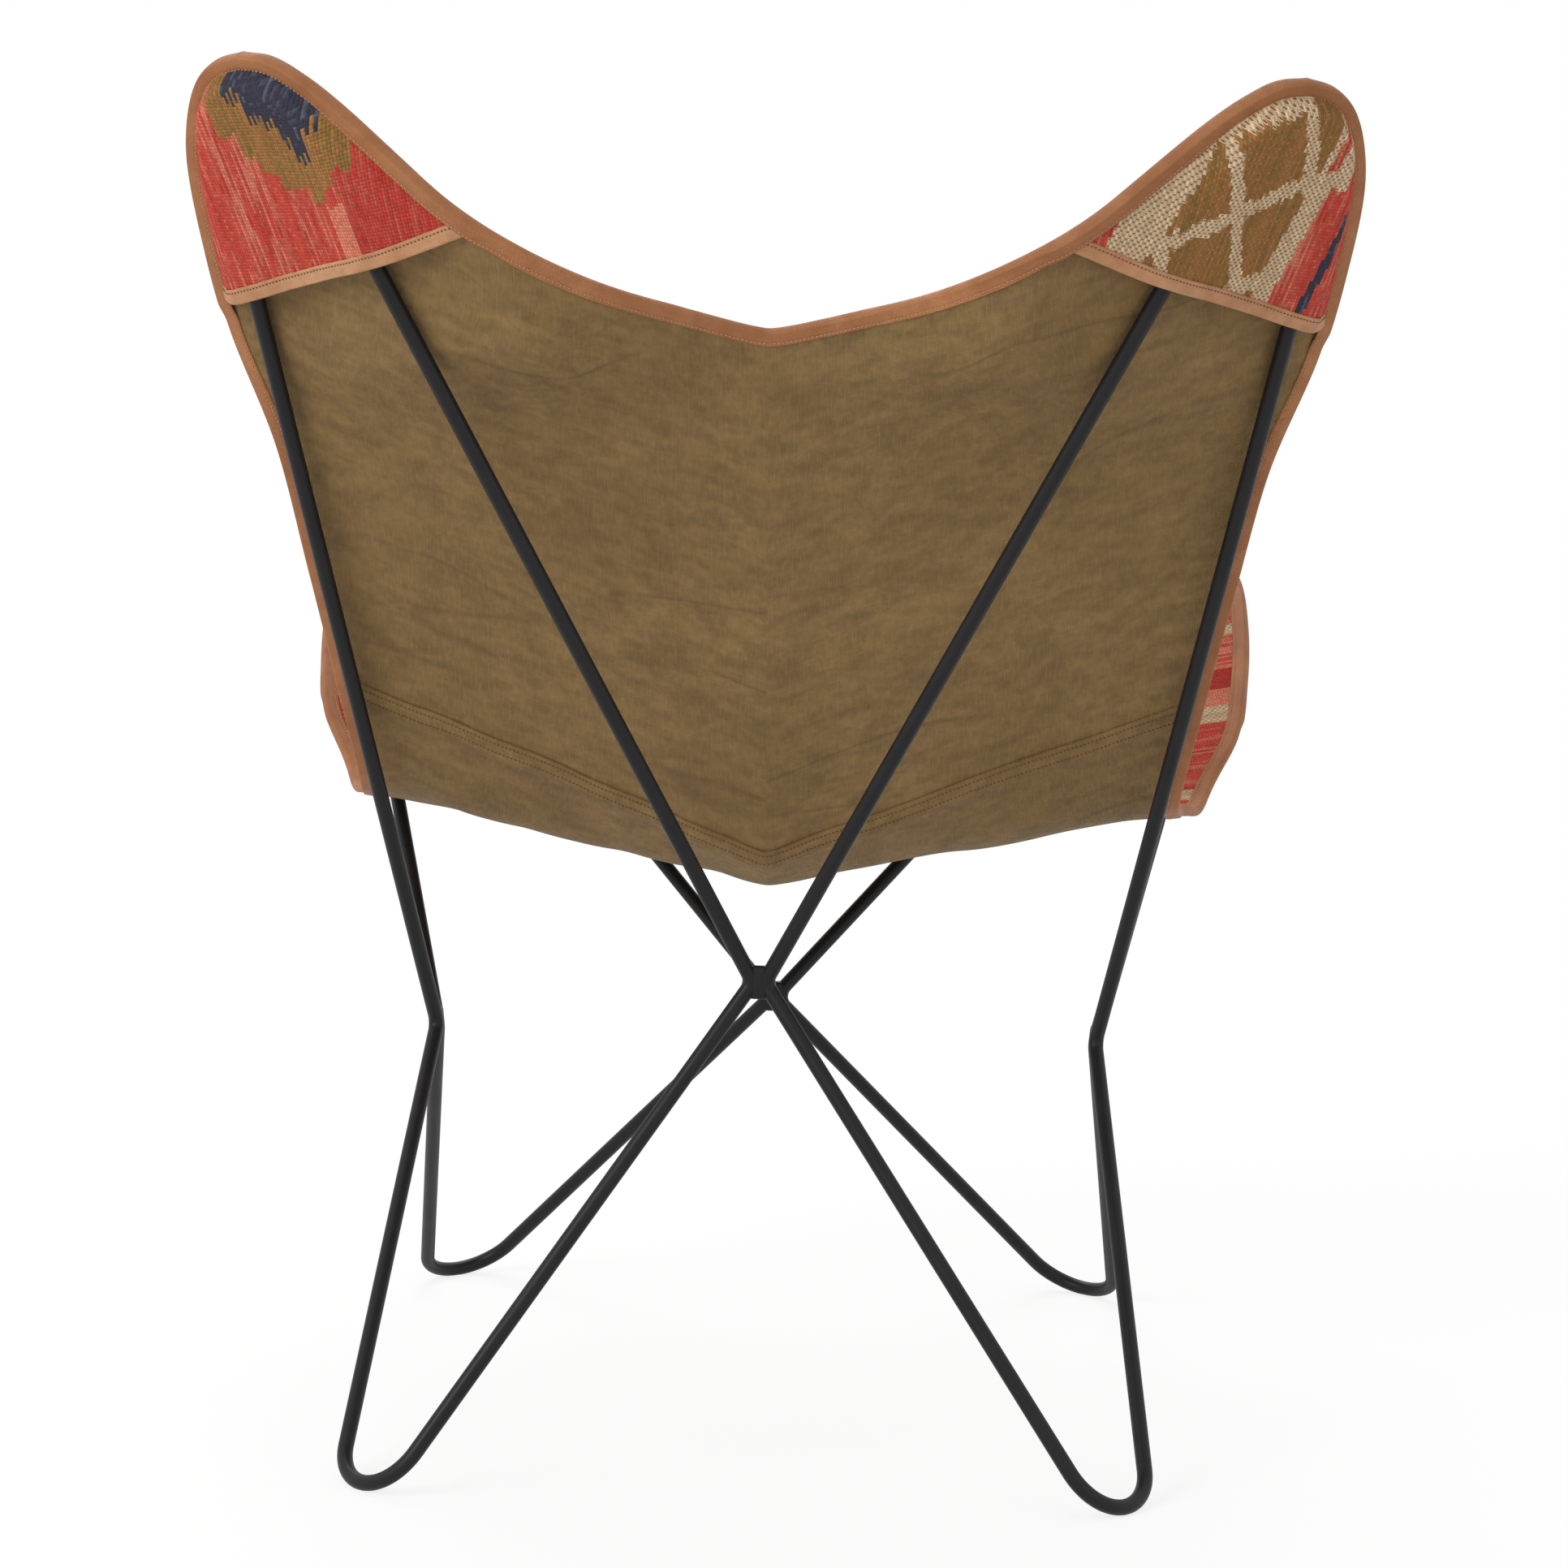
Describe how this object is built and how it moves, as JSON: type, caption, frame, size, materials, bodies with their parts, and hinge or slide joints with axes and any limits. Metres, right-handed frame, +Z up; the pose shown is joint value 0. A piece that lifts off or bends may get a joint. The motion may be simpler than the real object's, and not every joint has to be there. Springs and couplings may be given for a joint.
{
  "type": "butterfly sling chair",
  "caption": "Low lounge chair: bent black steel rod loops welded into an open stand, with a leather-bound kilim and canvas sling hung by pockets from the rod hoops.",
  "frame": {"origin": "on the floor, under the middle of the chair", "axes": "+Z up; the sitter faces -Y; +X is on the sitter's left, and the chair mirrors across X = 0"},
  "size_m": [0.706, 0.737, 0.8861],
  "materials": {
    "coated_steel": "satin black powder coat on round steel rod",
    "canvas": "close-woven olive brown canvas",
    "kilim": "flat-woven wool kilim, red ground with cream, ochre and navy figures",
    "leather": "tan binding leather, smooth, stitched along its inner edge"
  },
  "bodies": {
    "root": {"frame_loop_back_left": "coated_steel", "frame_loop_back_right": "coated_steel", "weld_back": "coated_steel", "frame_loop_front_left": "coated_steel", "frame_loop_front_right": "coated_steel", "weld_front": "coated_steel", "weld_left": "coated_steel", "weld_right": "coated_steel", "kilim_back_panel": "kilim", "kilim_seat_panel": "kilim", "canvas_back_panel": "canvas", "canvas_seat_panel": "canvas", "binding_top_edge": "leather", "binding_front_edge": "leather", "binding_back_corner_left": "leather", "binding_back_corner_right": "leather", "binding_side_left": "leather", "binding_side_right": "leather", "binding_front_corner_left": "leather", "binding_front_corner_right": "leather", "pocket_back_left": "kilim", "mouth_binding_back_left": "leather", "pocket_back_right": "kilim", "mouth_binding_back_right": "leather", "pocket_front_left": "kilim", "mouth_binding_front_left": "leather", "pocket_front_right": "kilim", "mouth_binding_front_right": "leather"}
  },
  "joints": []
}
